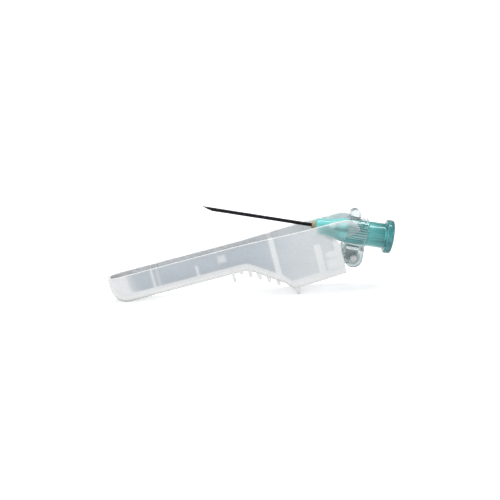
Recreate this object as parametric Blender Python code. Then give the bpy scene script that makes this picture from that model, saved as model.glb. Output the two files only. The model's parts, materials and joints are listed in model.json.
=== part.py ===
# Safety hypodermic needle with a hinged needle sheath, 21 gauge by one inch, luer-lock hub.
# Each frame has its origin on the hinge axis: X runs toward the luer end, Y across, Z away from the trough.
# The sheath hangs open below the needle and stands on its far end and on the rear lip of its finger pad.

import math

import bmesh
import bpy
from mathutils import Matrix, Vector

MM = 0.001

# Opening between needle and sheath as the photograph shows it
OPENING = math.radians(24.2)

# Fits
RUNNING_GAP = 0.05 * MM
SIDE_GAP = 0.10 * MM
SEAT_GAP = 0.02 * MM
OVERRUN = 1.0 * MM

# Hinge
HUB_AXIS_ABOVE_PIVOT = 5.3 * MM
PIN_RADIUS = 0.75 * MM
PIN_RECESS_RADIUS = 1.35 * MM
PIN_RECESS_DEPTH = 0.25 * MM

# Cannula
CANNULA_RADIUS = 0.41 * MM
CANNULA_BORE_RADIUS = 0.255 * MM
EXPOSED_LENGTH = 25.4 * MM
SEATED_LENGTH = 7.5 * MM
BEVEL_LENGTH = 2.6 * MM
LANCET_LENGTH = 1.3 * MM
LANCET_TURN = math.radians(38)
POINT_BLUNTNESS = 0.01 * MM

# Hub, lengths counted from the plane of the hinge
NOSE_AHEAD = 9.5 * MM
NOSE_TIP_RADIUS = 1.10 * MM
NOSE_FLARE_LENGTH = 2.3 * MM
NOSE_FLARE_RADIUS = 1.92 * MM
NOSE_CONE_LENGTH = 5.0 * MM
NOSE_BACK_RADIUS = 2.35 * MM
SHOULDER_LENGTH = 1.3 * MM
BODY_RADIUS = 2.72 * MM
SPLINE_COUNT = 32
SPLINE_RADIUS = 2.88 * MM
SPLINE_DEPTH = 0.28 * MM
SPLINE_END_GAP = 0.10 * MM
BARREL_RADIUS = 2.75 * MM
BARREL_RIB_COUNT = 4
BARREL_RIB_TURN = math.radians(13)
BARREL_RIB_RISE = 0.30 * MM
BARREL_RIB_WIDTH = 0.50 * MM
BARREL_RIB_START_GAP = 0.20 * MM
FLANGE_RADIUS = 3.85 * MM
FLANGE_LENGTH = 1.7 * MM
FLANGE_EDGE_RADIUS = 0.35 * MM
HUB_BEHIND = 8.5 * MM
SOCKET_MOUTH_RADIUS = 2.15 * MM
SOCKET_TAPER = 0.06
SOCKET_DEPTH = 7.6 * MM
SOCKET_FUNNEL_LENGTH = 1.2 * MM
GLUE_WELL_RADIUS = 0.72 * MM
GLUE_WELL_DEPTH = 1.2 * MM

# Adhesive
BEAD_PROUD = 0.7 * MM
BEAD_RADIUS = 0.92 * MM
BEAD_TIP_WALL = 0.12 * MM

# Hinge collar
COLLAR_AHEAD = 2.05 * MM
COLLAR_BEHIND = 2.45 * MM
COLLAR_WALL = 0.55 * MM
PLATE_THICKNESS = 0.75 * MM
EAR_RADIUS = 2.05 * MM
EAR_THICKNESS = 1.0 * MM
KNOB_AHEAD = 0.75 * MM
KNOB_RADIUS = 1.15 * MM
KNOB_HEIGHT = 4.15 * MM
KNOB_WIDTH = 2.6 * MM

# Sheath trough, lengths counted ahead of the hinge, heights from the hinge axis
SHEATH_LENGTH = 55.0 * MM
SHEATH_TOP = 9.1 * MM
FRONT_FLOOR = 2.9 * MM
REAR_FLOOR = -2.8 * MM
PAD_FLOOR = -3.55 * MM
FRONT_WIDTH = 5.1 * MM
REAR_WIDTH = 9.2 * MM
WIDTH_TAPER_START = 26.0 * MM
WIDTH_TAPER_END = 8.0 * MM
TIP_WIDTH = 2.4 * MM
TIP_ROUNDING = 3.6 * MM
FRONT_WALL = 0.70 * MM
REAR_WALL = 0.90 * MM
FLOOR_THICKNESS = 0.80 * MM
FRONT_CORNER = 1.25 * MM
REAR_CORNER = 0.60 * MM
INNER_CORNER = 0.45 * MM
REAR_EDGE_AHEAD = 2.2 * MM

# Finger pad
RAMP_START = 24.4 * MM
RAMP_END = 14.6 * MM
RIDGE_COUNT = 5
RIDGE_FIRST = 25.3 * MM
RIDGE_PITCH = 1.91 * MM
RIDGE_THICKNESS = 0.80 * MM
FIRST_RIDGE_HEIGHT = 0.55 * MM
LAST_RIDGE_HEIGHT = 1.05 * MM
PAD_SIDE_MARGIN = 0.35 * MM
FRONT_LIP_AHEAD = 27.2 * MM
FRONT_LIP_THICKNESS = 0.62 * MM
FRONT_LIP_HEIGHT = 1.9 * MM
REAR_LIP_AHEAD = 13.85 * MM
REAR_LIP_BASE = 1.5 * MM
REAR_LIP_TIP = 0.70 * MM
REAR_LIP_HEIGHT = 1.55 * MM

# The pad's ramp as shares of its length and rise, from the deep rear floor up to the shallow front
RAMP_PROFILE = (
    (0.0, 0.0),
    (0.05, 0.06),
    (0.16, 0.25),
    (0.29, 0.38),
    (0.44, 0.52),
    (0.62, 0.70),
    (0.81, 0.89),
    (0.92, 0.975),
    (1.0, 1.0),
)

# Ribs inside the trough: distance ahead, width along, foot above the floor and head below the rim
WALL_RIB_RISE = 0.30 * MM
WALL_RIBS = (
    (2.75 * MM, 1.10 * MM, 0.0, 0.0),
    (7.40 * MM, 1.30 * MM, 0.0, 3.9 * MM),
    (17.15 * MM, 1.25 * MM, 0.0, 0.0),
    (34.85 * MM, 0.55 * MM, 1.0 * MM, 1.8 * MM),
    (43.70 * MM, 0.45 * MM, 0.0, 0.0),
    (45.00 * MM, 0.45 * MM, 0.0, 0.0),
)

# Cheeks, lugs and catches of the sheath
CHEEK_BEHIND = 3.1 * MM
CHEEK_TIP_TOP = 6.45 * MM
CHEEK_TIP_BOTTOM = 5.9 * MM
CHEEK_CROWN_AHEAD = 0.6 * MM
RELIEF_BEHIND = 1.4 * MM
RELIEF_BOTTOM = 2.8 * MM
RELIEF_TOP = 5.6 * MM
LUG_RADIUS = 1.60 * MM
LUG_THICKNESS = 0.90 * MM
LUG_ROUND_END = 145
LUG_ARM_AHEAD = 5.9 * MM
LUG_ARM_TOP = 0.95 * MM
LUG_ARM_BOTTOM = -0.75 * MM
CATCH_AHEAD = 29.0 * MM
CATCH_LENGTH = 2.2 * MM
CATCH_TOP = 8.9 * MM
CATCH_DROP = 2.5 * MM
CATCH_THICKNESS = 0.40 * MM
CATCH_CLEARANCE = 0.12 * MM
LATCH_AHEAD = 4.4 * MM
LATCH_LENGTH = 2.5 * MM
LATCH_BOTTOM = 1.9 * MM
LATCH_HEIGHT = 0.9 * MM
LATCH_RISE = 0.30 * MM

# Facets
TURNED_STEPS = 64
FINE_STEPS = 32
ARC_STEPS = 6
FLARE_STEPS = 5
SMOOTH_ANGLE = math.radians(35)

COLLAR_BORE_RADIUS = SPLINE_RADIUS + SEAT_GAP
COLLAR_RADIUS = COLLAR_BORE_RADIUS + COLLAR_WALL
EAR_OUTER = REAR_WIDTH / 2 - SIDE_GAP
EAR_INNER = EAR_OUTER - EAR_THICKNESS
LUG_OUTER = EAR_INNER - SIDE_GAP
LUG_INNER = LUG_OUTER - LUG_THICKNESS
NEEDLE_TIP_AHEAD = NOSE_AHEAD + BEAD_PROUD + EXPOSED_LENGTH


def clear_scene():
    for thing in list(bpy.data.objects):
        bpy.data.objects.remove(thing)


def plastic(name, colour, roughness, clearness):
    material = bpy.data.materials.new(name)
    material.use_nodes = True
    shader = material.node_tree.nodes["Principled BSDF"]
    shader.inputs["Base Color"].default_value = (*colour, 1.0)
    shader.inputs["Roughness"].default_value = roughness
    shader.inputs["Transmission Weight"].default_value = clearness
    shader.inputs["IOR"].default_value = 1.49
    return material


def steel(name, colour, roughness):
    material = bpy.data.materials.new(name)
    material.use_nodes = True
    shader = material.node_tree.nodes["Principled BSDF"]
    shader.inputs["Base Color"].default_value = (*colour, 1.0)
    shader.inputs["Metallic"].default_value = 1.0
    shader.inputs["Roughness"].default_value = roughness
    return material


def frame_at_hinge(name, tilt):
    frame = bpy.data.objects.new(name, None)
    frame.empty_display_size = HUB_AXIS_ABOVE_PIVOT
    frame.rotation_euler = (0, tilt, 0)
    bpy.context.scene.collection.objects.link(frame)
    return frame


def solid(name, shape, frame, material=None):
    bmesh.ops.recalc_face_normals(shape, faces=shape.faces)
    mesh = bpy.data.meshes.new(name)
    shape.to_mesh(mesh)
    shape.free()
    made = bpy.data.objects.new(name, mesh)
    made.parent = frame
    bpy.context.scene.collection.objects.link(made)
    if material:
        mesh.materials.append(material)
        mesh.shade_smooth()
        mesh.set_sharp_from_angle(angle=SMOOTH_ANGLE)
    return made


def combine(target, shape, operation):
    """Adds a shape to the target, or cuts it away, as a live Boolean with a hidden helper."""
    name = f"{target.name}_{operation.lower()}_{len(target.modifiers)}"
    helper = solid(name, shape, target.parent)
    helper.hide_render = True
    helper.display_type = "WIRE"
    modifier = target.modifiers.new(name, "BOOLEAN")
    modifier.operation = operation
    modifier.solver = "EXACT"
    modifier.object = helper


def prism(outline, side_a, side_b):
    """A shape drawn in the XZ plane and extruded across, from side_a to side_b."""
    shape = bmesh.new()
    corners = [shape.verts.new((x, side_a, z)) for x, z in outline]
    face = shape.faces.new(corners)
    moved = bmesh.ops.extrude_face_region(shape, geom=[face])
    raised = [v for v in moved["geom"] if isinstance(v, bmesh.types.BMVert)]
    bmesh.ops.translate(shape, verts=raised, vec=(0, side_b - side_a, 0))
    return shape


def box(x_range, y_range, z_range):
    rear, front = x_range
    low, high = z_range
    return prism([(rear, low), (front, low), (front, high), (rear, high)], *y_range)


def arc(centre, radius, start, end, steps):
    """Points on an arc in the XZ plane, angles in degrees from +X toward +Z."""
    angles = [math.radians(start + (end - start) * k / steps) for k in range(steps + 1)]
    return [(centre[0] + radius * math.cos(a), centre[1] + radius * math.sin(a)) for a in angles]


def turned(profile, height, steps):
    """A closed profile of (x, radius) points spun about the line along X at the given height."""
    shape = bmesh.new()
    verts = [shape.verts.new((x, 0, height + radius)) for x, radius in profile]
    edges = [shape.edges.new((verts[k - 1], verts[k])) for k in range(len(verts))]
    bmesh.ops.spin(
        shape,
        geom=verts + edges,
        cent=(0, 0, height),
        axis=(1, 0, 0),
        angle=math.tau,
        steps=steps,
        use_merge=True,
    )
    return shape


def turned_plug(profile, steps):
    """A solid of revolution about the hub's axis, closed to the axis at both ends."""
    shape = bmesh.new()
    points = [(profile[0][0], 0), *profile, (profile[-1][0], 0)]
    verts = [shape.verts.new((x, 0, HUB_AXIS_ABOVE_PIVOT + radius)) for x, radius in points]
    edges = [shape.edges.new((a, b)) for a, b in zip(verts, verts[1:])]
    bmesh.ops.spin(
        shape,
        geom=verts + edges,
        cent=(0, 0, HUB_AXIS_ABOVE_PIVOT),
        axis=(1, 0, 0),
        angle=math.tau,
        steps=steps,
        use_merge=True,
    )
    bmesh.ops.remove_doubles(shape, verts=shape.verts, dist=SEAT_GAP / 100)
    return shape


def cross_cylinder(radius, x, z, side_a, side_b, steps):
    return prism(arc((x, z), radius, 0, 360 - 360 / steps, steps - 1), side_a, side_b)


def loft(sections):
    """A closed solid through sections that all have the same number of points."""
    shape = bmesh.new()
    rings = [[shape.verts.new(point) for point in section] for section in sections]
    for near, far in zip(rings, rings[1:]):
        for k in range(len(near)):
            shape.faces.new((near[k - 1], near[k], far[k], far[k - 1]))
    shape.faces.new(rings[0])
    shape.faces.new(rings[-1])
    return shape


def between(front, rear, ahead):
    """A size that eases from its value in front of the taper to its value at the hinge."""
    share = (WIDTH_TAPER_START - ahead) / (WIDTH_TAPER_START - WIDTH_TAPER_END)
    share = min(max(share, 0.0), 1.0)
    return front + (rear - front) * share * share * (3 - 2 * share)


def half_width(ahead):
    return between(FRONT_WIDTH, REAR_WIDTH, ahead) / 2


def wall_at(ahead):
    return between(FRONT_WALL, REAR_WALL, ahead)


def ramp_share(along):
    """Share of the ramp's rise at a share of its length, read off its profile."""
    for (start, low), (end, high) in zip(RAMP_PROFILE, RAMP_PROFILE[1:]):
        if along <= end:
            return low + (high - low) * (along - start) / (end - start)
    return 1.0


def floor_at(ahead):
    """Height of the underside: deep at the hinge, a steep ramp at the pad, shallow in front."""
    if ahead < RAMP_END:
        return REAR_FLOOR + (PAD_FLOOR - REAR_FLOOR) * ahead / RAMP_END
    share = ramp_share((ahead - RAMP_END) / (RAMP_START - RAMP_END))
    return PAD_FLOOR + (FRONT_FLOOR - PAD_FLOOR) * share


def trough_section(ahead, half, floor, top, corner):
    """A U-shaped outline at one station, from the near top edge round the floor to the far one."""
    bottom = arc((half - corner, floor + corner), corner, 0, -90, ARC_STEPS)
    near = [(-ahead, -y, z) for y, z in bottom]
    far = [(-ahead, y, z) for y, z in reversed(bottom)]
    return [(-ahead, -half, top), *near, *far, (-ahead, half, top)]


def trough_stations():
    """Distances ahead at which the trough changes its section, from the hinge to the straight front."""
    flare = WIDTH_TAPER_END
    rear = [flare + (RAMP_END - flare) * k / FLARE_STEPS for k in range(FLARE_STEPS)]
    ramp = [RAMP_END + (RAMP_START - RAMP_END) * along for along, _ in RAMP_PROFILE]
    return [REAR_EDGE_AHEAD, *rear, *ramp, WIDTH_TAPER_START]


def tip_sections(front, half, floor, top, corner, rounding, tip_half):
    """Sections over the rounded far end, which draws in from the sides and from below."""
    sections = []
    for k in range(ARC_STEPS + 1):
        turn = math.pi / 2 * k / ARC_STEPS
        ahead = front + rounding * math.sin(turn)
        width = tip_half + (half - tip_half) * math.cos(turn)
        lift = rounding * (1 - math.cos(turn))
        sections.append(trough_section(ahead, width, floor + lift, top, min(corner, width)))
    return sections


def trough_loft(inset, top, rear):
    """The trough's outer body, or with inset its hollow, which runs out at the top and the rear."""
    sections = []
    lift = FLOOR_THICKNESS if inset else 0.0
    for ahead in [-rear] + trough_stations():
        wall = wall_at(ahead) if inset else 0.0
        corner = INNER_CORNER if inset else between(FRONT_CORNER, REAR_CORNER, ahead)
        half = half_width(ahead) - wall
        sections.append(trough_section(ahead, half, floor_at(ahead) + lift, top, corner))
    wall = FRONT_WALL if inset else 0.0
    corner = INNER_CORNER if inset else FRONT_CORNER
    front = SHEATH_LENGTH - TIP_ROUNDING
    half = FRONT_WIDTH / 2 - wall
    tip = (TIP_WIDTH - wall) / 2
    sections += tip_sections(front, half, FRONT_FLOOR + lift, top, corner, TIP_ROUNDING - wall, tip)
    return loft(sections)


def rear_trim():
    """What lies behind the trough's rear edge, the relief over the ears and the cheeks' round backs."""
    relief_length = REAR_EDGE_AHEAD + RELIEF_BEHIND
    relief_height = RELIEF_TOP - RELIEF_BOTTOM
    outline = [(-REAR_EDGE_AHEAD, PAD_FLOOR - OVERRUN), (-REAR_EDGE_AHEAD, RELIEF_BOTTOM)]
    for k in range(1, ARC_STEPS + 1):
        turn = math.pi / 2 * k / ARC_STEPS
        x = RELIEF_BEHIND - relief_length * math.cos(turn)
        outline.append((x, RELIEF_BOTTOM + relief_height * math.sin(turn)))
    outline.append((CHEEK_BEHIND - SIDE_GAP, CHEEK_TIP_BOTTOM))
    length = CHEEK_BEHIND + CHEEK_CROWN_AHEAD
    height = SHEATH_TOP - CHEEK_TIP_TOP
    for k in range(ARC_STEPS + 1):
        turn = math.pi / 2 * k / ARC_STEPS
        x = length * math.cos(turn) - CHEEK_CROWN_AHEAD
        outline.append((x, CHEEK_TIP_TOP + height * math.sin(turn)))
    outline.append((-CHEEK_CROWN_AHEAD, SHEATH_TOP + OVERRUN))
    outline.append((CHEEK_BEHIND + 2 * OVERRUN, SHEATH_TOP + OVERRUN))
    outline.append((CHEEK_BEHIND + 2 * OVERRUN, PAD_FLOOR - OVERRUN))
    return prism(outline, -REAR_WIDTH, REAR_WIDTH)


def hanging_bar(ahead, base, tip, height, bury):
    """The side outline of a bar that hangs from the underside, with a rounded lower edge."""
    top = floor_at(ahead) + bury
    low = floor_at(ahead) - height + tip / 2
    end = arc((-ahead, low), tip / 2, 180, 360, ARC_STEPS)
    return [(-ahead - base / 2, top), *end, (-ahead + base / 2, top)]


def pad_bars():
    """The pad's ridges, whose tips lie on one line, and its two lips, as (ahead, base, tip, height)."""
    bars = [
        (FRONT_LIP_AHEAD, FRONT_LIP_THICKNESS, FRONT_LIP_THICKNESS, FRONT_LIP_HEIGHT),
        (REAR_LIP_AHEAD, REAR_LIP_BASE, REAR_LIP_TIP, REAR_LIP_HEIGHT),
    ]
    last = RIDGE_FIRST - (RIDGE_COUNT - 1) * RIDGE_PITCH
    first_tip = floor_at(RIDGE_FIRST) - FIRST_RIDGE_HEIGHT
    last_tip = floor_at(last) - LAST_RIDGE_HEIGHT
    for k in range(RIDGE_COUNT):
        ahead = RIDGE_FIRST - k * RIDGE_PITCH
        tip = first_tip + (last_tip - first_tip) * k / (RIDGE_COUNT - 1)
        bars.append((ahead, RIDGE_THICKNESS, RIDGE_THICKNESS, floor_at(ahead) - tip))
    return bars


def add_finger_pad(sheath):
    for ahead, base, tip, height in pad_bars():
        side = half_width(ahead) - PAD_SIDE_MARGIN
        outline = hanging_bar(ahead, base, tip, height, FLOOR_THICKNESS / 2)
        combine(sheath, prism(outline, -side, side), "UNION")


def add_on_both_walls(sheath, ahead, length, low, high, rise):
    """A flat rib on the inner face of each side wall, rooted in the wall."""
    inner = half_width(ahead) - wall_at(ahead)
    root = inner + wall_at(ahead) / 2
    for side in (-1, 1):
        sides = sorted((side * (inner - rise), side * root))
        ends = (-ahead - length / 2, -ahead + length / 2)
        combine(sheath, box(ends, tuple(sides), (low, high)), "UNION")


def lug_outline():
    back = arc((0, 0), LUG_RADIUS, LUG_ROUND_END, -LUG_ROUND_END, 4 * ARC_STEPS)
    return [(-LUG_ARM_AHEAD, LUG_ARM_TOP), *back, (-LUG_ARM_AHEAD, LUG_ARM_BOTTOM)]


def add_lugs(sheath):
    """Two lugs between the collar's ears, each with its pin, joined to the walls by an arm."""
    root = half_width(LUG_ARM_AHEAD) - REAR_WALL / 2
    pad = (-LUG_ARM_AHEAD, -REAR_EDGE_AHEAD - SIDE_GAP)
    for side in (-1, 1):
        plate = sorted((side * LUG_INNER, side * LUG_OUTER))
        joint = sorted((side * LUG_INNER, side * root))
        pin = sorted((side * (LUG_INNER + LUG_OUTER) / 2, side * EAR_OUTER))
        combine(sheath, prism(lug_outline(), *plate), "UNION")
        combine(sheath, box(pad, tuple(joint), (LUG_ARM_BOTTOM, LUG_ARM_TOP)), "UNION")
        combine(sheath, cross_cylinder(PIN_RADIUS, 0, 0, *pin, FINE_STEPS), "UNION")


def add_needle_catch(sheath):
    """A finger that slopes down from the near wall beside the path of the closing needle."""
    wall = half_width(CATCH_AHEAD) - wall_at(CATCH_AHEAD) / 2
    free = CANNULA_RADIUS + CATCH_CLEARANCE
    low = CATCH_TOP - CATCH_DROP
    section = [(-wall, CATCH_TOP), (-wall, CATCH_TOP - CATCH_THICKNESS), (-free, low),
               (-free, low + CATCH_THICKNESS)]
    ends = (-CATCH_AHEAD - CATCH_LENGTH / 2, -CATCH_AHEAD + CATCH_LENGTH / 2)
    combine(sheath, loft([[(x, y, z) for y, z in section] for x in ends]), "UNION")


def make_sheath(frame):
    material = plastic("translucent_polypropylene", (0.78, 0.82, 0.87), 0.25, 0.6)
    sheath = solid("safety_sheath", trough_loft(False, SHEATH_TOP, CHEEK_BEHIND), frame, material)
    rear = CHEEK_BEHIND + OVERRUN
    combine(sheath, trough_loft(True, SHEATH_TOP + OVERRUN, rear), "DIFFERENCE")
    combine(sheath, rear_trim(), "DIFFERENCE")
    add_finger_pad(sheath)
    for ahead, length, foot, head in WALL_RIBS:
        low = floor_at(ahead) + FLOOR_THICKNESS / 2 + foot
        add_on_both_walls(sheath, ahead, length, low, SHEATH_TOP - head, WALL_RIB_RISE)
    latch_top = LATCH_BOTTOM + LATCH_HEIGHT
    add_on_both_walls(sheath, LATCH_AHEAD, LATCH_LENGTH, LATCH_BOTTOM, latch_top, LATCH_RISE)
    add_needle_catch(sheath)
    add_lugs(sheath)
    return sheath


def hub_outline():
    """Outer profile of the hub from the nose tip back to the flange, as (x, radius)."""
    flare = []
    for k in range(ARC_STEPS + 1):
        turn = math.pi / 2 * k / ARC_STEPS
        x = -NOSE_AHEAD + NOSE_FLARE_LENGTH * (1 - math.cos(turn))
        flare.append((x, NOSE_TIP_RADIUS + (NOSE_FLARE_RADIUS - NOSE_TIP_RADIUS) * math.sin(turn)))
    cone_end = -NOSE_AHEAD + NOSE_CONE_LENGTH
    shoulder_end = cone_end + SHOULDER_LENGTH
    valley = SPLINE_RADIUS - SPLINE_DEPTH
    flange_front = HUB_BEHIND - FLANGE_LENGTH
    edge = FLANGE_EDGE_RADIUS
    rim = FLANGE_RADIUS - edge
    return [
        *flare,
        (cone_end, NOSE_BACK_RADIUS),
        (shoulder_end, BODY_RADIUS),
        (-COLLAR_AHEAD - SPLINE_END_GAP, BODY_RADIUS),
        (-COLLAR_AHEAD, valley),
        (COLLAR_BEHIND, valley),
        (COLLAR_BEHIND + SPLINE_END_GAP, BARREL_RADIUS),
        (flange_front - edge, BARREL_RADIUS),
        (flange_front, BARREL_RADIUS + edge),
        *arc((flange_front + edge, rim), edge, 180, 90, ARC_STEPS // 2),
        *arc((HUB_BEHIND - edge, rim), edge, 90, 0, ARC_STEPS // 2),
    ]


def hub_bore():
    """Inner profile from the socket's mouth forward to the glue well at the nose."""
    bore = CANNULA_RADIUS + SEAT_GAP
    socket_end = HUB_BEHIND - SOCKET_DEPTH
    socket_end_radius = SOCKET_MOUTH_RADIUS - SOCKET_TAPER * SOCKET_DEPTH / 2
    return [
        (HUB_BEHIND, SOCKET_MOUTH_RADIUS),
        (socket_end, socket_end_radius),
        (socket_end - SOCKET_FUNNEL_LENGTH, bore),
        (-NOSE_AHEAD + GLUE_WELL_DEPTH, bore),
        (-NOSE_AHEAD, GLUE_WELL_RADIUS),
    ]


def splines():
    """Fine axial ribs on the seat of the collar, as one toothed ring about the hub's axis."""
    sections = []
    for x in (-COLLAR_AHEAD - SPLINE_END_GAP, COLLAR_BEHIND + SPLINE_END_GAP):
        section = []
        for k in range(2 * SPLINE_COUNT):
            radius = SPLINE_RADIUS - SPLINE_DEPTH * (k % 2)
            turn = math.pi * k / SPLINE_COUNT
            z = HUB_AXIS_ABOVE_PIVOT + radius * math.sin(turn)
            section.append((x, radius * math.cos(turn), z))
        sections.append(section)
    return loft(sections)


def barrel_rib(turn):
    root = (SOCKET_MOUTH_RADIUS + BARREL_RADIUS) / 2
    crest = BARREL_RADIUS + BARREL_RIB_RISE
    start = COLLAR_BEHIND + SPLINE_END_GAP + BARREL_RIB_START_GAP
    ends = (start, HUB_BEHIND - FLANGE_LENGTH / 2)
    shape = box(ends, (-BARREL_RIB_WIDTH / 2, BARREL_RIB_WIDTH / 2), (root, crest))
    place = Matrix.Translation((0, 0, HUB_AXIS_ABOVE_PIVOT)) @ Matrix.Rotation(turn, 4, "X")
    bmesh.ops.transform(shape, matrix=place, verts=shape.verts)
    return shape


def make_hub(frame):
    material = plastic("teal_polypropylene", (0.08, 0.45, 0.45), 0.2, 0.5)
    blank = turned(hub_outline() + hub_bore(), HUB_AXIS_ABOVE_PIVOT, TURNED_STEPS)
    core = solid("needle_hub", blank, frame, material)
    combine(core, splines(), "UNION")
    combine(core, turned_plug(hub_bore(), TURNED_STEPS), "DIFFERENCE")
    for k in range(BARREL_RIB_COUNT):
        turn = BARREL_RIB_TURN + math.tau * k / BARREL_RIB_COUNT
        combine(core, barrel_rib(turn), "UNION")
    return core


def bevel_cutter(length, turn):
    """A block whose face is a ground plane through the needle's point, turned about its axis."""
    crest = HUB_AXIS_ABOVE_PIVOT + CANNULA_RADIUS - POINT_BLUNTNESS
    tip = Vector((-NEEDLE_TIP_AHEAD, 0, crest))
    slope = math.atan2(2 * CANNULA_RADIUS, length)
    reach = 2 * BEVEL_LENGTH
    shape = box((-OVERRUN, reach), (-OVERRUN, OVERRUN), (-reach, 0.0))
    place = Matrix.Translation(tip) @ Matrix.Rotation(turn, 4, "X") @ Matrix.Rotation(slope, 4, "Y")
    bmesh.ops.transform(shape, matrix=place, verts=shape.verts)
    return shape


def make_cannula(frame):
    material = steel("stainless_steel", (0.62, 0.63, 0.65), 0.22)
    ends = (-NEEDLE_TIP_AHEAD, -NOSE_AHEAD + SEATED_LENGTH)
    profile = [
        (ends[0], CANNULA_RADIUS),
        (ends[1], CANNULA_RADIUS),
        (ends[1], CANNULA_BORE_RADIUS),
        (ends[0], CANNULA_BORE_RADIUS),
    ]
    cannula = solid("cannula", turned(profile, HUB_AXIS_ABOVE_PIVOT, FINE_STEPS), frame, material)
    combine(cannula, bevel_cutter(BEVEL_LENGTH, 0.0), "DIFFERENCE")
    for turn in (-LANCET_TURN, LANCET_TURN):
        combine(cannula, bevel_cutter(LANCET_LENGTH, turn), "DIFFERENCE")
    return cannula


def make_bead(frame):
    material = plastic("amber_epoxy", (0.62, 0.42, 0.20), 0.3, 0.2)
    hole = CANNULA_RADIUS + SEAT_GAP
    front = -NOSE_AHEAD - BEAD_PROUD
    face = -NOSE_AHEAD - SEAT_GAP
    start = hole + BEAD_TIP_WALL
    crown = []
    for k in range(ARC_STEPS):
        turn = math.pi / 2 * k / ARC_STEPS
        x = front + BEAD_PROUD * (1 - math.cos(turn))
        crown.append((x, start + (BEAD_RADIUS - start) * math.sin(turn)))
    profile = [
        (front, hole),
        *crown,
        (face, BEAD_RADIUS),
        (face, GLUE_WELL_RADIUS - SEAT_GAP),
        (face + GLUE_WELL_DEPTH - BEAD_TIP_WALL, hole + SEAT_GAP),
        (face + GLUE_WELL_DEPTH - BEAD_TIP_WALL, hole),
    ]
    return solid("adhesive_bead", turned(profile, HUB_AXIS_ABOVE_PIVOT, FINE_STEPS), frame, material)


def saddle_top():
    """Height of the saddle plate's upper face, just inside the ring's lowest line."""
    return HUB_AXIS_ABOVE_PIVOT - COLLAR_BORE_RADIUS + COLLAR_WALL / 2


def ear_outline():
    round_end = arc((0, 0), EAR_RADIUS, 180, 360, 4 * ARC_STEPS)
    return [(-EAR_RADIUS, saddle_top()), *round_end, (EAR_RADIUS, saddle_top())]


def knob_outline():
    """Side outline of the thumb knob, rounded on top and rooted in the ring."""
    crown = (-KNOB_AHEAD, HUB_AXIS_ABOVE_PIVOT + KNOB_HEIGHT)
    root = HUB_AXIS_ABOVE_PIVOT + COLLAR_BORE_RADIUS
    return [
        *arc(crown, KNOB_RADIUS, 0, 180, 2 * ARC_STEPS),
        (-KNOB_AHEAD - KNOB_RADIUS, root),
        (-KNOB_AHEAD + KNOB_RADIUS, root),
    ]


def make_collar(frame):
    material = plastic("clear_polycarbonate", (0.80, 0.84, 0.85), 0.1, 0.7)
    ring = [
        (-COLLAR_AHEAD, COLLAR_BORE_RADIUS),
        (-COLLAR_AHEAD, COLLAR_RADIUS),
        (COLLAR_BEHIND, COLLAR_RADIUS),
        (COLLAR_BEHIND, COLLAR_BORE_RADIUS),
    ]
    blank = turned(ring, HUB_AXIS_ABOVE_PIVOT, TURNED_STEPS)
    collar = solid("hinge_collar", blank, frame, material)
    plate_heights = (saddle_top() - PLATE_THICKNESS, saddle_top())
    plate = box((-EAR_RADIUS, EAR_RADIUS), (-EAR_OUTER, EAR_OUTER), plate_heights)
    combine(collar, plate, "UNION")
    for side in (-1, 1):
        sides = sorted((side * EAR_INNER, side * EAR_OUTER))
        combine(collar, prism(ear_outline(), *sides), "UNION")
    combine(collar, prism(knob_outline(), -KNOB_WIDTH / 2, KNOB_WIDTH / 2), "UNION")
    bore_ends = (-COLLAR_AHEAD - OVERRUN, COLLAR_BEHIND + OVERRUN)
    bore = turned_plug([(x, COLLAR_BORE_RADIUS) for x in bore_ends], TURNED_STEPS)
    combine(collar, bore, "DIFFERENCE")
    cut_pin_holes(collar)
    return collar


def cut_pin_holes(collar):
    """One hole through both ears, and a shallow recess round it on each ear's outer face."""
    hole = PIN_RADIUS + RUNNING_GAP
    combine(collar, cross_cylinder(hole, 0, 0, -REAR_WIDTH, REAR_WIDTH, FINE_STEPS), "DIFFERENCE")
    for side in (-1, 1):
        sides = sorted((side * (EAR_OUTER - PIN_RECESS_DEPTH), side * REAR_WIDTH))
        recess = cross_cylinder(PIN_RECESS_RADIUS, 0, 0, *sides, FINE_STEPS)
        combine(collar, recess, "DIFFERENCE")


def resting_tilt():
    """Slope of the line under the round far end and the tip of the rear lip, in the sheath's frame."""
    tip_centre = Vector((SHEATH_LENGTH - TIP_ROUNDING, FRONT_FLOOR + TIP_ROUNDING))
    lip_low = floor_at(REAR_LIP_AHEAD) - REAR_LIP_HEIGHT + REAR_LIP_TIP / 2
    reach = tip_centre - Vector((REAR_LIP_AHEAD, lip_low))
    drop = TIP_ROUNDING - REAR_LIP_TIP / 2
    return math.atan2(reach.y, reach.x) - math.asin(drop / reach.length)


def world_points(made):
    graph = bpy.context.evaluated_depsgraph_get()
    evaluated = made.evaluated_get(graph)
    return [evaluated.matrix_world @ vertex.co for vertex in evaluated.data.vertices]


def stand_on_ground(frames, pieces):
    """Moves both frames together until the whole part stands on z = 0, centred on the origin."""
    bpy.context.view_layer.update()
    points = [point for piece in pieces for point in world_points(piece)]
    low = Vector([min(point[k] for point in points) for k in range(3)])
    high = Vector([max(point[k] for point in points) for k in range(3)])
    middle = (low + high) / 2
    for frame in frames:
        frame.location = (-middle.x, -middle.y, -low.z)


def main():
    clear_scene()
    tilt = resting_tilt()
    sheath_frame = frame_at_hinge("sheath_frame", -tilt)
    needle_frame = frame_at_hinge("needle_frame", OPENING - tilt)
    pieces = [
        make_sheath(sheath_frame),
        make_hub(needle_frame),
        make_cannula(needle_frame),
        make_bead(needle_frame),
        make_collar(needle_frame),
    ]
    stand_on_ground((sheath_frame, needle_frame), pieces)


main()
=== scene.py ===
import json
import math

import bmesh
import bpy
from mathutils import Matrix, Vector
from mathutils.bvhtree import BVHTree


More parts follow.
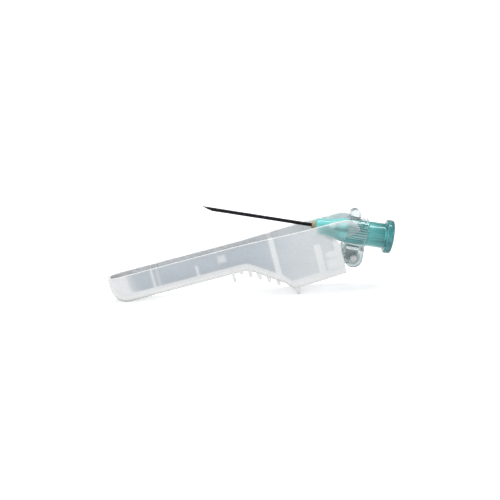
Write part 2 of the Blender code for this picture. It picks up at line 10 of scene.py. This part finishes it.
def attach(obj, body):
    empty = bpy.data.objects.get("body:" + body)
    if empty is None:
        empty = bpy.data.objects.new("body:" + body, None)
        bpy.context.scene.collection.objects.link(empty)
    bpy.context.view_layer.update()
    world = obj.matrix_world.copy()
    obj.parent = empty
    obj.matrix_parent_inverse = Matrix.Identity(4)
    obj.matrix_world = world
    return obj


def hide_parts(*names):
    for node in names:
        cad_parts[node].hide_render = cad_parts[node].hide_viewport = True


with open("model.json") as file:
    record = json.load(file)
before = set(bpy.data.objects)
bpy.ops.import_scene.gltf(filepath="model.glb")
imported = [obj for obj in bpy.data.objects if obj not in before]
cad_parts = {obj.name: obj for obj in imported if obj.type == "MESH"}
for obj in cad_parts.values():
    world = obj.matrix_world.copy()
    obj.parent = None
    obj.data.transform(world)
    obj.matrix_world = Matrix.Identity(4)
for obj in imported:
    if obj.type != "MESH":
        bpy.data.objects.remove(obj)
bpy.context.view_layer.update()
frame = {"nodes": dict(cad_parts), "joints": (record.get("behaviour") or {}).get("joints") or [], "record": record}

# ---- Needle hub
# One teal moulding: a tapered nose, a splined seat for the collar, a ribbed barrel and a flange.
# It is injected in transparent polypropylene, so flow lines and the hollow socket show inside it.
NEEDLE_AXIS = Vector(frame["record"]["mounts"][0]["axis"])
NEEDLE_TILT = math.atan2(-NEEDLE_AXIS.z, NEEDLE_AXIS.x)
NEEDLE_UP = NEEDLE_AXIS.cross(Vector((0.0, 1.0, 0.0)))
MERGE_DISTANCE = 0.000004
FLAT_ANGLE = math.radians(0.4)
EDGE_ANGLE = math.radians(33)
HUB_EDGE_RADIUS = 0.00006
HUB_AXIS_HEIGHT = 0.01778

SPLINE_BAND = (0.0183, 0.0232)
SPLINE_VALLEY = 0.0026
SPLINE_CREST = 0.00288
TOOTH_MARGIN = 0.2
BETWEEN_TONES = 0.5
# Tints for painted shade in the spline valleys and painted highlights on their crests, neutral in between.
SPLINE_HIGHLIGHT_AND_SHADE_TONES = (
    (0.0, (0.02, 0.22, 0.25, 1.0)),
    (BETWEEN_TONES, (1.0, 1.0, 1.0, 1.0)),
    (1.0, (3.1, 1.50, 1.50, 1.0)),
)

NOISE_SPAN = (0.3, 0.7)
FLOW_STRETCH = 0.35
GRAIN_PER_STREAK = 9.0
STREAK_TINT = (-0.15, 0.15)
MOULD_RIPPLE = (0.25, 0.00002)
POLYMER_IOR = 1.49


def merged_shape(node):
    """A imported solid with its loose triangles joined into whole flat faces."""
    shape = bmesh.new()
    shape.from_mesh(frame["nodes"][node].data)
    bmesh.ops.remove_doubles(shape, verts=shape.verts, dist=MERGE_DISTANCE)
    bmesh.ops.dissolve_limit(shape, angle_limit=FLAT_ANGLE, verts=shape.verts, edges=shape.edges)
    return shape


def placed(shape, name):
    """Puts a finished shape into the scene as an object."""
    mesh = bpy.data.meshes.new(name)
    shape.to_mesh(mesh)
    shape.free()
    piece = bpy.data.objects.new(name, mesh)
    bpy.context.scene.collection.objects.link(piece)
    return piece


def dressed_copy(node, name, edge_radius=0.0):
    """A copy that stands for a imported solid, smooth where it curves, its sharp edges rounded."""
    piece = placed(merged_shape(node), name)
    piece.data.shade_smooth()
    piece.data.set_sharp_from_angle(angle=EDGE_ANGLE)
    if edge_radius:
        bevel = piece.modifiers.new("edges", "BEVEL")
        bevel.width = edge_radius
        bevel.segments = 2
        bevel.limit_method = "ANGLE"
        bevel.angle_limit = EDGE_ANGLE
        bevel.use_clamp_overlap = False
        bevel.harden_normals = False
    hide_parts(node)
    return piece


def principled(name):
    """A new material with its node tree and its shader."""
    material = bpy.data.materials.new(name)
    material.use_nodes = True
    return material, material.node_tree, material.node_tree.nodes["Principled BSDF"]


def feed(tree, socket, value):
    """Links a socket to another one, or sets it to a plain value."""
    if isinstance(value, bpy.types.NodeSocket):
        tree.links.new(value, socket)
    else:
        socket.default_value = value


def math_node(tree, operation, *values):
    """The result of one sum on sockets and numbers."""
    node = tree.nodes.new("ShaderNodeMath")
    node.operation = operation
    for socket, value in zip(node.inputs, values):
        feed(tree, socket, value)
    return node.outputs["Value"]


def spread(tree, value, given, wanted=(0.0, 1.0)):
    """Maps the given range of a value on the wanted one, and holds it at the ends."""
    change = tree.nodes.new("ShaderNodeMapRange")
    for name, end in zip(("From Min", "From Max", "To Min", "To Max"), (*given, *wanted)):
        change.inputs[name].default_value = end
    tree.links.new(value, change.inputs["Value"])
    return change.outputs["Result"]


def mixed(tree, factor, first, second, blend_type="MIX"):
    """A mix of two colours."""
    mix = tree.nodes.new("ShaderNodeMix")
    mix.data_type = "RGBA"
    mix.blend_type = blend_type
    for name, value in (("Factor", factor), ("A", first), ("B", second)):
        feed(tree, mix.inputs[name], value)
    return mix.outputs["Result"]


def ramp(tree, value, stops):
    """Colours along a value, from stops in rising order."""
    node = tree.nodes.new("ShaderNodeValToRGB")
    elements = node.color_ramp.elements
    while len(elements) < len(stops):
        elements.new(0.5)
    for element, (position, colour) in zip(elements, stops):
        element.position, element.color = position, colour
    tree.links.new(value, node.inputs["Fac"])
    return node.outputs["Color"]


def stored(tree, name):
    """A value that the mesh keeps at its corners."""
    attribute = tree.nodes.new("ShaderNodeAttribute")
    attribute.attribute_name = name
    return attribute.outputs["Fac"]


def object_place(tree):
    """The place of a point on the object, in metres."""
    return tree.nodes.new("ShaderNodeTexCoord").outputs["Object"]


def distance_along(tree, direction):
    """How far a point lies along a direction."""
    reach = tree.nodes.new("ShaderNodeVectorMath")
    reach.operation = "DOT_PRODUCT"
    reach.inputs[1].default_value = direction
    tree.links.new(object_place(tree), reach.inputs[0])
    return reach.outputs["Value"]


def drawn_out(tree, turn, share):
    """Places turned into line with a piece, so that noise read there is drawn out along it."""
    mapping = tree.nodes.new("ShaderNodeMapping")
    mapping.inputs["Scale"].default_value = (share, 1.0, 1.0)
    feed(tree, mapping.inputs["Rotation"], turn)
    tree.links.new(object_place(tree), mapping.inputs["Vector"])
    return mapping.outputs["Vector"]


def noise(tree, place, scale, detail, distortion=0.0):
    """Smooth noise whose scale is in waves per metre."""
    texture = tree.nodes.new("ShaderNodeTexNoise")
    texture.inputs["Detail"].default_value = detail
    texture.inputs["Distortion"].default_value = distortion
    feed(tree, texture.inputs["Scale"], scale)
    tree.links.new(place, texture.inputs["Vector"])
    return texture.outputs["Fac"]


def build_flow_marks():
    """Faint streaks and grain that a plastic keeps from flowing into its mould."""
    group = bpy.data.node_groups.new("flow_marks", "ShaderNodeTree")
    group.interface.new_socket("Turn", in_out="INPUT", socket_type="NodeSocketVector")
    group.interface.new_socket("Scale", in_out="INPUT", socket_type="NodeSocketFloat")
    group.interface.new_socket("Streaks", in_out="OUTPUT", socket_type="NodeSocketFloat")
    group.interface.new_socket("Grain", in_out="OUTPUT", socket_type="NodeSocketFloat")
    given = group.nodes.new("NodeGroupInput")
    result = group.nodes.new("NodeGroupOutput")
    lengthwise = drawn_out(group, given.outputs["Turn"], FLOW_STRETCH)
    streaks = noise(group, lengthwise, given.outputs["Scale"], detail=3.0, distortion=0.6)
    finer = math_node(group, "MULTIPLY", given.outputs["Scale"], GRAIN_PER_STREAK)
    grain = noise(group, object_place(group), finer, detail=2.0)
    group.links.new(streaks, result.inputs["Streaks"])
    group.links.new(grain, result.inputs["Grain"])
    return group


flow_marks = build_flow_marks()


def streaks_and_grain(tree, tilt, scale):
    """The flow marks of a piece that was moulded lying at a tilt."""
    marks = tree.nodes.new("ShaderNodeGroup")
    marks.node_tree = flow_marks
    marks.inputs["Turn"].default_value = (0.0, tilt, 0.0)
    marks.inputs["Scale"].default_value = scale
    return marks.outputs["Streaks"], marks.outputs["Grain"]


def set_surface(tree, shader, colour, roughness, height, bump):
    """Gives a shader its colour, its roughness and a bump of some strength and depth."""
    ripple = tree.nodes.new("ShaderNodeBump")
    ripple.inputs["Strength"].default_value, ripple.inputs["Distance"].default_value = bump
    tree.links.new(height, ripple.inputs["Height"])
    tree.links.new(ripple.outputs["Normal"], shader.inputs["Normal"])
    tree.links.new(colour, shader.inputs["Base Color"])
    tree.links.new(roughness, shader.inputs["Roughness"])


def moulded_plastic(name, pale, deep, deepens, roughness, clearness, scale):
    """Clear plastic whose tint deepens along one direction and varies along its flow lines."""
    direction, start, end = deepens
    material, tree, shader = principled(name)
    streaks, grain = streaks_and_grain(tree, NEEDLE_TILT, scale)
    share = spread(tree, distance_along(tree, direction), (start, end))
    uneven = math_node(tree, "ADD", share, spread(tree, streaks, NOISE_SPAN, STREAK_TINT))
    uneven.node.use_clamp = True
    set_surface(
        tree,
        shader,
        colour=mixed(tree, uneven, pale, deep),
        roughness=spread(tree, grain, NOISE_SPAN, roughness),
        height=streaks,
        bump=MOULD_RIPPLE,
    )
    shader.inputs["Transmission Weight"].default_value = clearness
    shader.inputs["IOR"].default_value = POLYMER_IOR
    return material


def tint_further(material, colour):
    """Multiplies a material's base colour by another colour."""
    tree = material.node_tree
    base = tree.nodes["Principled BSDF"].inputs["Base Color"]
    tree.links.new(mixed(tree, 1.0, base.links[0].from_socket, colour, "MULTIPLY"), base)


def mark_splines(mesh):
    """Stores how near each corner of the splined band is to the crest of its tooth."""
    crest = mesh.attributes.new("crest", "FLOAT", "POINT")
    for corner, vertex in zip(crest.data, mesh.vertices):
        corner.value = BETWEEN_TONES
        if SPLINE_BAND[0] < vertex.co.dot(NEEDLE_AXIS) < SPLINE_BAND[1]:
            radius = math.hypot(vertex.co.y, vertex.co.dot(NEEDLE_UP) - HUB_AXIS_HEIGHT)
            height = (radius - SPLINE_VALLEY) / (SPLINE_CREST - SPLINE_VALLEY)
            if -TOOTH_MARGIN < height < 1.0 + TOOTH_MARGIN:
                corner.value = min(1.0, max(0.0, height))


def teal_polypropylene():
    """The hub's tinted plastic, deeper towards the barrel, with painted highlights on its splines' crests and
    painted shade in their valleys.
    """
    material = moulded_plastic(
        "teal_polypropylene",
        pale=(0.32, 0.95, 0.93, 1.0),
        deep=(0.002, 0.145, 0.17, 1.0),
        deepens=(NEEDLE_AXIS, 0.0190, 0.0300),
        roughness=(0.05, 0.13),
        clearness=0.58,
        scale=500.0,
    )
    tree = material.node_tree
    # Painted highlights on the splines' crests and painted shade in their valleys.
    tint_further(material, ramp(tree, stored(tree, "crest"), SPLINE_HIGHLIGHT_AND_SHADE_TONES))
    return material


hub = dressed_copy("needle_hub", "hub_moulding", HUB_EDGE_RADIUS)
mark_splines(hub.data)
hub.data.materials.append(teal_polypropylene())
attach(hub, "needle")

# ---- Cannula
# A drawn stainless tube of 21 gauge, ground to a bevel and two lancet facets at its point.
# It is bonded into the hub's nose; the drawing die leaves very fine lines along it.
# Painted shade: the steel's colours are near black, for the dark surroundings it reflects.
SHADED_STEEL_DARK = (0.010, 0.010, 0.012, 1.0)
SHADED_STEEL_PALE = (0.030, 0.031, 0.034, 1.0)
STEEL_ROUGHNESS = (0.16, 0.28)
DIE_LINES_PER_METRE = 14000.0
DIE_LINE_STRETCH = 0.02
DIE_LINE_BUMP = (0.2, 0.000004)


def drawn_steel():
    """Stainless steel with fine lines along the tube; its colour is near black, a painted shade for the dark
    surroundings it reflects.
    """
    material, tree, shader = principled("drawn_stainless_steel")
    lengthwise = drawn_out(tree, (0.0, NEEDLE_TILT, 0.0), DIE_LINE_STRETCH)
    lines = noise(tree, lengthwise, DIE_LINES_PER_METRE, detail=3.0)
    set_surface(
        tree,
        shader,
        colour=mixed(tree, spread(tree, lines, NOISE_SPAN), SHADED_STEEL_DARK, SHADED_STEEL_PALE),
        roughness=spread(tree, lines, NOISE_SPAN, STEEL_ROUGHNESS),
        height=lines,
        bump=DIE_LINE_BUMP,
    )
    shader.inputs["Metallic"].default_value = 1.0
    return material


cannula = dressed_copy("cannula", "cannula_tube")
cannula.data.materials.append(drawn_steel())
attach(cannula, "needle")

# ---- Adhesive bead
# A drop of amber epoxy that bonds the steel tube into the moulded hub.
# It is dosed into the well of the nose and cured there, so it climbs the tube as a fillet.
EPOXY_DEEP = (0.42, 0.24, 0.09, 1.0)
EPOXY_PALE = (0.66, 0.45, 0.22, 1.0)
EPOXY_ROUGHNESS = (0.12, 0.24)
EPOXY_CLOUDS_PER_METRE = 1500.0
EPOXY_BUMP = (0.3, 0.00003)
EPOXY_CLEARNESS = 0.35
EPOXY_IOR = 1.55


def cured_epoxy():
    """Amber resin, a little cloudy."""
    material, tree, shader = principled("cured_epoxy")
    clouds = noise(tree, object_place(tree), EPOXY_CLOUDS_PER_METRE, detail=4.0)
    set_surface(
        tree,
        shader,
        colour=mixed(tree, spread(tree, clouds, NOISE_SPAN), EPOXY_DEEP, EPOXY_PALE),
        roughness=spread(tree, clouds, NOISE_SPAN, EPOXY_ROUGHNESS),
        height=clouds,
        bump=EPOXY_BUMP,
    )
    shader.inputs["Transmission Weight"].default_value = EPOXY_CLEARNESS
    shader.inputs["IOR"].default_value = EPOXY_IOR
    return material


bead = dressed_copy("adhesive_bead", "adhesive_fillet")
bead.data.materials.append(cured_epoxy())
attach(bead, "needle")

# ---- Hinge collar
# A clear moulding: a ring, a saddle plate, a knob and two ears with holes for the sheath's pins.
# It is pressed on the hub's splines, whose teeth show through the ring.
COLLAR_EDGE_RADIUS = 0.00006
BORE_RADIUS = 0.0031
RING_RADIUS = 0.0038
SPLINE_COUNT = 32
NO_TINT = (1.0, 1.0, 1.0, 1.0)
PAINTED_VALLEY_SHADE_TINT = (0.25, 0.75, 0.77, 1.0)
THICK_TINT = (0.66, 0.70, 0.71, 1.0)


def clear_styrenic():
    """Clear plastic with painted shade of the spline valleys in stripes along its bore, greyer where it is thick,
    and painted darker downwards into its ears.
    """
    material = moulded_plastic(
        "clear_styrenic",
        pale=(0.90, 0.94, 0.95, 1.0),
        deep=(0.56, 0.63, 0.63, 1.0),
        # Painted shade: the collar is painted darker downwards, into its ears under the hub.
        deepens=(-NEEDLE_UP, -0.0152, -0.0138),
        roughness=(0.03, 0.09),
        clearness=0.95,
        scale=400.0,
    )
    tree = material.node_tree
    side = distance_along(tree, Vector((0.0, 1.0, 0.0)))
    height = math_node(tree, "SUBTRACT", distance_along(tree, NEEDLE_UP), HUB_AXIS_HEIGHT)
    squares = [math_node(tree, "POWER", part, 2.0) for part in (side, height)]
    radius = math_node(tree, "SQRT", math_node(tree, "ADD", *squares))
    around = math_node(tree, "ARCTAN2", side, height)
    teeth = math_node(tree, "COSINE", math_node(tree, "MULTIPLY", around, SPLINE_COUNT))
    valley = math_node(tree, "MULTIPLY_ADD", teeth, -0.5, 0.5)
    bore = math_node(tree, "LESS_THAN", radius, BORE_RADIUS)
    valley_shade = math_node(tree, "MULTIPLY", valley, bore)
    thick = math_node(tree, "GREATER_THAN", radius, RING_RADIUS)
    # Painted shade of the splines' valleys, as teal stripes on the round bore.
    tint_further(material, mixed(tree, valley_shade, NO_TINT, PAINTED_VALLEY_SHADE_TINT))
    tint_further(material, mixed(tree, thick, NO_TINT, THICK_TINT))
    return material


collar = dressed_copy("hinge_collar", "collar_moulding", COLLAR_EDGE_RADIUS)
collar.data.materials.append(clear_styrenic())
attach(collar, "needle")

# ---- Safety sheath
# One moulding: a trough with a round far end, a ridged finger pad, and lugs that snap into ears.
# It is natural polypropylene, which is milky: walls dim what lies behind, and ribs show paler.
HINGE = frame["joints"][0]
PIVOT = Vector(HINGE["pos_m"])
SHEATH_TILT = NEEDLE_TILT + math.radians(HINGE["range_deg"][0])
SHEATH_ALONG = Vector((math.cos(SHEATH_TILT), 0.0, -math.sin(SHEATH_TILT)))
ACROSS = Vector((0.0, 1.0, 0.0))
SHEATH_EDGE_RADIUS = 0.00008
CELL = 0.00035

# How much plastic a face counts for, in metres.
SIDE_FACING = 0.35
DEEPEST = 0.003
RIB_DEPTH = 0.0016
TAB_DEPTH = 0.00094
BACKING_REACH = 0.0016
PIN_RADIUS = 0.00078
LUG_REACH = 0.0023
LUG_OUTER = 0.00345
LUG_DEPTH = 0.00025
# Strength and fade of the light that the floor and the far end pass on to the walls.
FLOOR_GLOW = (1.0, 0.00093)
FLOOR_ZONE = 0.00186
END_GLOW = (0.48, 0.0083)
END_ZONE = 0.009
# How near the hub has to be to show through a wall, and how well it shows past its nose.
CONTACT_REACH = 0.0041
CONTACT_FADE = 0.0015
BAND_CONTACT = 0.88
# Shade of the pins, and of the trough's inner faces from its narrow front to its open rear.
PIN_SHADE = 0.55
INNER_SHADE = (0.70, 1.15)
OPENING = (0.0, 0.008)

HAZE_PER_METRE = 1200.0
CONTACT_HAZE_PER_METRE = 130.0
WALL_COLOURS = (
    (0.26, (0.56, 0.62, 0.68, 1.0)),
    (0.305, (0.66, 0.70, 0.73, 1.0)),
    (0.335, (0.86, 0.88, 0.90, 1.0)),
    (0.45, (0.77, 0.79, 0.80, 1.0)),
    (1.00, (0.70, 0.71, 0.71, 1.0)),
)
LEAST_FACING = 0.12
OUTLINE_FACING = (0.05, 0.55)
OUTLINE_SHADE = (0.22, 1.0)
TURNED_UP = (0.2, 0.7)
SHEATH_STREAKS_PER_METRE = 220.0
SHEATH_STREAK_HAZE = (0.88, 1.12)
SHEATH_ROUGHNESS = (0.22, 0.34)
SHEATH_BUMP = (0.2, 0.00003)


def cut_into_cells(shape, directions):
    """Cuts faces into small cells, so that values at their corners can follow the wall's depth."""
    for direction in directions:
        heights = [vertex.co.dot(direction) for vertex in shape.verts]
        for step in range(int((max(heights) - min(heights)) / CELL)):
            bmesh.ops.bisect_plane(
                shape,
                geom=shape.verts[:] + shape.edges[:] + shape.faces[:],
                plane_co=direction * (min(heights) + (step + 0.5) * CELL),
                plane_no=direction,
                dist=MERGE_DISTANCE / 4,
            )


def sheath_copy():
    """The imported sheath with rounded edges, cut into cells."""
    shape = merged_shape("safety_sheath")
    for face in shape.faces:
        face.smooth = True
    bmesh.ops.bevel(
        shape,
        geom=[edge for edge in shape.edges if edge.calc_face_angle(0.0) > EDGE_ANGLE],
        offset=SHEATH_EDGE_RADIUS,
        offset_type="OFFSET",
        segments=2,
        profile=0.5,
        affect="EDGES",
        material=-1,
        clamp_overlap=False,
    )
    cut_into_cells(shape, (SHEATH_ALONG, ACROSS, SHEATH_ALONG.cross(ACROSS)))
    piece = placed(shape, "sheath_moulding")
    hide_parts("safety_sheath")
    return piece


def surface_tree(mesh):
    """A mesh's faces, ready to be met by rays."""
    corners = [vertex.co for vertex in mesh.vertices]
    return BVHTree.FromPolygons(corners, [list(face.vertices) for face in mesh.polygons])


def plastic_depth_and_glow(walls, face, far_end):
    """How much plastic lies behind a face; near the floor and the far end, painted light adds to it."""
    centre, side = face.center, abs(face.normal.y) > SIDE_FACING
    inward = ACROSS * -math.copysign(1.0, face.normal.y) if side else -face.normal
    through = walls.ray_cast(centre - face.normal * MERGE_DISTANCE, inward, DEEPEST)[3]
    if through is None:
        return DEEPEST
    depth_and_glow = min(through, RIB_DEPTH)
    if not side:
        return depth_and_glow
    behind = centre + inward * (through + 2 * MERGE_DISTANCE)
    if walls.ray_cast(behind, inward, BACKING_REACH)[3] is not None:
        depth_and_glow = TAB_DEPTH
    # Painted light: near the floor and the far end, the wall counts as deeper, so it shows paler.
    glows = [(-SHEATH_ALONG.cross(ACROSS), *FLOOR_GLOW, FLOOR_ZONE)]
    if centre.dot(SHEATH_ALONG) < far_end + END_ZONE:
        glows.append((-SHEATH_ALONG, *END_GLOW, END_ZONE))
    middle = Vector((centre.x, 0.0, centre.z))
    for way, strength, fade, reach in glows:
        apart = walls.ray_cast(middle, way, reach)[3]
        if apart is not None:
            depth_and_glow = max(depth_and_glow, strength * math.exp(-apart / fade) * DEEPEST)
    return depth_and_glow


def hub_beside(hub_surface, face):
    """1 where the hub lies right beside a wall, down to 0 where it is out of reach."""
    level_in = ACROSS * -math.copysign(1.0, face.center.y)
    apart = hub_surface.ray_cast(face.center, level_in, CONTACT_REACH)[3]
    if apart is None:
        return 0.0
    beside = min(1.0, (CONTACT_REACH - apart) / CONTACT_FADE)
    past_nose = face.center.dot(NEEDLE_AXIS) > SPLINE_BAND[0]
    return beside * BAND_CONTACT if past_nose else beside


def measure_walls(mesh, hub_mesh):
    """Stores the wall's depth with its painted glow, its contact with the hub and its painted shade at each
    corner.

    Contact is above 0 on outer faces and below 0 on inner ones, so that the material can tell
    from which side it is seen.
    """
    walls, hub_surface = surface_tree(mesh), surface_tree(hub_mesh)
    far_end = min(vertex.co.dot(SHEATH_ALONG) for vertex in mesh.vertices)
    totals = [[0.0, 0.0, 0.0, 0.0] for _ in mesh.vertices]
    for face in mesh.polygons:
        centre, side = face.center, abs(face.normal.y) > SIDE_FACING
        depth_and_glow, shade = plastic_depth_and_glow(walls, face, far_end), 1.0
        contact = hub_beside(hub_surface, face) if side else 0.0
        if side and face.normal.y * centre.y < 0.0:
            contact = -contact
            opened = (centre.x - OPENING[0]) / (OPENING[1] - OPENING[0])
            opened = min(1.0, max(0.0, opened))
            shade = INNER_SHADE[0] + (INNER_SHADE[1] - INNER_SHADE[0]) * opened
        from_pivot = math.hypot(centre.x - PIVOT.x, centre.z - PIVOT.z)
        if from_pivot < PIN_RADIUS:
            shade = PIN_SHADE
        elif from_pivot < LUG_REACH and abs(centre.y) < LUG_OUTER:
            depth_and_glow = min(depth_and_glow, LUG_DEPTH)
        for corner in face.vertices:
            for k, value in enumerate((1.0, depth_and_glow, contact, shade)):
                totals[corner][k] += value * face.area
    for k, name in enumerate(("depth_and_glow", "contact", "shade"), start=1):
        values = mesh.attributes.new(name, "FLOAT", "POINT").data
        for corner, total in zip(values, totals):
            corner.value = total[k] / total[0] if total[0] else 0.0


def natural_polypropylene():
    """Milky plastic that hides more, and takes another tone, the further light goes through it."""
    material, tree, shader = principled("natural_polypropylene")
    streaks, grain = streaks_and_grain(tree, SHEATH_TILT, SHEATH_STREAKS_PER_METRE)
    slant = tree.nodes.new("ShaderNodeLayerWeight")
    slant.inputs["Blend"].default_value = 0.5
    facing = math_node(tree, "SUBTRACT", 1.0, slant.outputs["Facing"])
    facing = math_node(tree, "MAXIMUM", facing, LEAST_FACING)
    path = math_node(tree, "DIVIDE", stored(tree, "depth_and_glow"), facing)

    # The hub shows through a wall only where it lies behind it, so a face seen from its back
    # turns the sign of its contact round.
    surface = tree.nodes.new("ShaderNodeNewGeometry")
    outward = math_node(tree, "MULTIPLY_ADD", surface.outputs["Backfacing"], -2.0, 1.0)
    before_hub = math_node(tree, "MULTIPLY", stored(tree, "contact"), outward)
    before_hub = math_node(tree, "MAXIMUM", before_hub, 0.0)
    cleared = math_node(tree, "MULTIPLY", before_hub, HAZE_PER_METRE - CONTACT_HAZE_PER_METRE)
    haze = math_node(tree, "SUBTRACT", cleared, HAZE_PER_METRE)
    streaked = spread(tree, streaks, NOISE_SPAN, SHEATH_STREAK_HAZE)
    uneven = math_node(tree, "MULTIPLY", path, streaked)
    passed = math_node(tree, "EXPONENT", math_node(tree, "MULTIPLY", uneven, haze))
    tree.links.new(math_node(tree, "SUBTRACT", 1.0, passed), shader.inputs["Alpha"])

    # Painted shade darkens the outlines, apart from faces that look up into the light, which stay lit.
    outline = spread(tree, facing, OUTLINE_FACING, OUTLINE_SHADE)
    normal = tree.nodes.new("ShaderNodeSeparateXYZ")
    place = tree.nodes.new("ShaderNodeTexCoord")
    tree.links.new(place.outputs["Normal"], normal.inputs["Vector"])
    lit = math_node(tree, "MAXIMUM", outline, spread(tree, normal.outputs["Z"], TURNED_UP))
    shaded = tree.nodes.new("ShaderNodeVectorMath")
    shaded.operation = "SCALE"
    tone = ramp(tree, math_node(tree, "DIVIDE", path, DEEPEST), WALL_COLOURS)
    tree.links.new(tone, shaded.inputs[0])
    shade = math_node(tree, "MULTIPLY", lit, stored(tree, "shade"))
    tree.links.new(shade, shaded.inputs["Scale"])
    set_surface(
        tree,
        shader,
        colour=shaded.outputs["Vector"],
        roughness=spread(tree, grain, NOISE_SPAN, SHEATH_ROUGHNESS),
        height=streaks,
        bump=SHEATH_BUMP,
    )
    shader.inputs["IOR"].default_value = POLYMER_IOR
    return material


sheath = sheath_copy()
measure_walls(sheath.data, hub.data)
sheath.data.materials.append(natural_polypropylene())
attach(sheath, "sheath")

# ---- Floor and light
# A sheet of matt white paper laid flat on a table, in front of a white backdrop.
# Four lamps with diffusers light the needle softly from above, from both sides and from behind.
TABLE_HALF = 3.0
PAPER_COLOUR = (0.88, 0.88, 0.88, 1.0)
PAPER_ROUGHNESS = 0.9
PAPER_GLOW = 0.42
WHITE = (1.0, 1.0, 1.0, 1.0)
ROOM_STRENGTH = 0.40
CEILING_HEIGHTS = (0.12, 0.50)
CEILING_STRENGTHS = (1.0, 0.40)
LAMP_AIM = Vector((0.0, 0.0, 0.01))


def seen_directly(tree):
    """1 for rays from the camera, off a gloss or through a clear part, 0 for those that light."""
    rays = tree.nodes.new("ShaderNodeLightPath").outputs
    seen = rays["Is Camera Ray"]
    for name in ("Is Glossy Ray", "Is Transmission Ray"):
        seen = math_node(tree, "MAXIMUM", seen, rays[name])
    return seen


def table_paper():
    """Paper that keeps the part's shadow and glows a little where it is seen, to look white."""
    material, tree, shader = principled("white_paper")
    glow = math_node(tree, "MULTIPLY", seen_directly(tree), PAPER_GLOW)
    tree.links.new(glow, shader.inputs["Emission Strength"])
    shader.inputs["Base Color"].default_value = PAPER_COLOUR
    shader.inputs["Roughness"].default_value = PAPER_ROUGHNESS
    shader.inputs["Emission Color"].default_value = WHITE
    return material


table = bmesh.new()
bmesh.ops.create_grid(table, x_segments=1, y_segments=1, size=TABLE_HALF)
table_top = placed(table, "white_table")
table_top.data.materials.append(table_paper())


def room():
    """A white backdrop that is dimmer overhead where it is seen, and even light for the rest."""
    world = bpy.data.worlds.new("studio")
    world.use_nodes = True
    tree = world.node_tree
    direction = tree.nodes.new("ShaderNodeTexCoord")
    parts = tree.nodes.new("ShaderNodeSeparateXYZ")
    tree.links.new(direction.outputs["Generated"], parts.inputs["Vector"])
    ceiling = spread(tree, parts.outputs["Z"], CEILING_HEIGHTS, CEILING_STRENGTHS)
    strength = tree.nodes.new("ShaderNodeMix")
    for name, value in (("Factor", seen_directly(tree)), ("A", ROOM_STRENGTH), ("B", ceiling)):
        feed(tree, strength.inputs[name], value)
    backdrop = tree.nodes["Background"]
    tree.links.new(strength.outputs["Result"], backdrop.inputs["Strength"])
    backdrop.inputs["Color"].default_value = WHITE
    bpy.context.scene.world = world


def softbox(name, place, size, power):
    """A lamp with a diffuser, its long side level, aimed at the part."""
    lamp = bpy.data.lights.new(name, "AREA")
    lamp.shape = "RECTANGLE"
    lamp.size, lamp.size_y = size
    lamp.energy = power
    holder = bpy.data.objects.new(name, lamp)
    holder.location = place
    holder.rotation_euler = (LAMP_AIM - Vector(place)).to_track_quat("-Z", "Y").to_euler()
    bpy.context.scene.collection.objects.link(holder)


room()
softbox("overhead_strip", place=(0.0, 0.03, 0.45), size=(0.45, 0.10), power=1.5)
softbox("key_softbox", place=(-0.25, -0.42, 0.20), size=(0.30, 0.30), power=1.0)
softbox("fill_softbox", place=(0.40, -0.32, 0.18), size=(0.25, 0.25), power=0.5)
softbox("back_softbox", place=(0.05, 0.45, 0.35), size=(0.40, 0.40), power=0.4)

# ---- Camera
# A camera with a long lens, half a metre away and a little above the table's height.
# It is turned slightly to the left and rolled by two degrees, as for the photograph.
CAMERA_AZIMUTH = math.radians(-4.31)
CAMERA_ELEVATION = math.radians(14.25)
CAMERA_ROLL = math.radians(-2.23)
CAMERA_DISTANCE = 0.5
CAMERA_AIM = Vector((-0.00031, 0.0, 0.01007))
IMAGE_WIDTH = 500
PIXELS_PER_METRE = 4395
VIEW_WIDTH = IMAGE_WIDTH / PIXELS_PER_METRE
SENSOR_WIDTH = 36.0

back = Vector(
    (
        math.sin(CAMERA_AZIMUTH) * math.cos(CAMERA_ELEVATION),
        -math.cos(CAMERA_AZIMUTH) * math.cos(CAMERA_ELEVATION),
        math.sin(CAMERA_ELEVATION),
    )
)
level = Vector((math.cos(CAMERA_AZIMUTH), math.sin(CAMERA_AZIMUTH), 0.0))
upright = Matrix((level, back.cross(level), back)).transposed()
turned = (upright @ Matrix.Rotation(CAMERA_ROLL, 3, "Z")).to_4x4()
camera_data = bpy.data.cameras.new("camera")
camera_data.sensor_width = SENSOR_WIDTH
camera_data.lens = SENSOR_WIDTH * CAMERA_DISTANCE / VIEW_WIDTH
camera = bpy.data.objects.new("camera", camera_data)
camera.matrix_world = Matrix.Translation(CAMERA_AIM + back * CAMERA_DISTANCE) @ turned
bpy.context.scene.collection.objects.link(camera)
bpy.context.scene.camera = camera
bpy.context.scene.view_settings.view_transform = "Standard"
